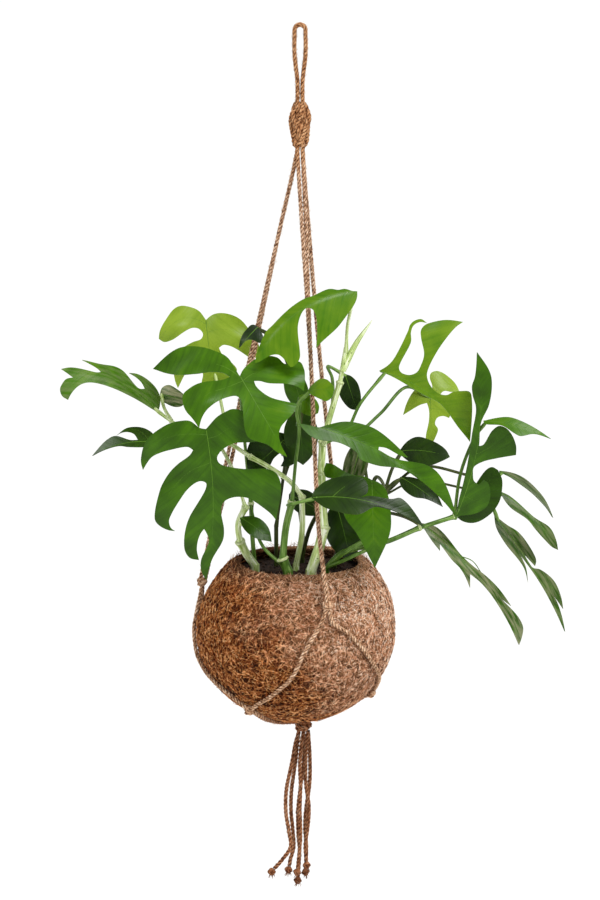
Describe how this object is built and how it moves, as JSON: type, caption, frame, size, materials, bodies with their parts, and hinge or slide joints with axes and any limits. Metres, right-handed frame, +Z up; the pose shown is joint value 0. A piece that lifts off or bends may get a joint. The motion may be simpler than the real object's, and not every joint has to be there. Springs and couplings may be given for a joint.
{
  "type": "hanging potted plant",
  "caption": "Leafy climbing house plant with split leaves, in a round coconut-fibre ball pot that hangs in a knotted jute rope hanger from a rope loop.",
  "frame": {"origin": "inner top of the rope loop, where a hook bears", "axes": "+Z up along the hanging rope, +X to the right of the front view, +Y to the back"},
  "size_m": [0.5028, 0.2317, 0.8826],
  "materials": {
    "coir": "rough tangled coconut fibre",
    "soil": "dark crumbly potting soil",
    "foliage": "waxy green leaf, satin",
    "jute": "twisted jute rope, matte and a little hairy"
  },
  "bodies": {
    "root": {"coir_ball_pot": "coir", "potting_soil": "soil", "main_vine": "foliage", "left_side_stem": "foliage", "middle_vine": "foliage", "left_vine": "foliage", "star_leaf_stem": "foliage", "back_left_stem": "foliage", "right_stem": "foliage", "inner_right_stem": "foliage", "low_right_stem": "foliage", "loop_cord_1": "jute", "loop_cord_2": "jute", "loop_cord_3": "jute", "top_knot": "jute", "front_leg_cord_a": "jute", "front_leg_cord_b": "jute", "rear_leg_cord_a": "jute", "rear_leg_cord_b": "jute", "left_leg_cord_a": "jute", "left_leg_cord_b": "jute", "front_upper_knot": "jute", "rear_upper_knot": "jute", "left_upper_knot": "jute", "net_cord_front_left": "jute", "net_cord_front_right": "jute", "net_cord_left_front": "jute", "net_cord_left_rear": "jute", "net_cord_rear_right": "jute", "net_cord_rear_left": "jute", "left_lower_knot": "jute", "right_lower_knot": "jute", "rear_lower_knot": "jute", "left_under_cord_a": "jute", "left_under_cord_b": "jute", "right_under_cord_a": "jute", "right_under_cord_b": "jute", "rear_under_cord_a": "jute", "rear_under_cord_b": "jute", "bottom_knot": "jute", "tail_cord_1": "jute", "tail_cord_2": "jute", "tail_cord_3": "jute", "tail_cord_4": "jute", "tail_cord_5": "jute", "tail_cord_6": "jute", "tail_knot_1": "jute", "tail_knot_2": "jute", "tail_knot_3": "jute", "tail_knot_4": "jute", "tail_knot_5": "jute", "tail_knot_6": "jute"}
  },
  "joints": []
}
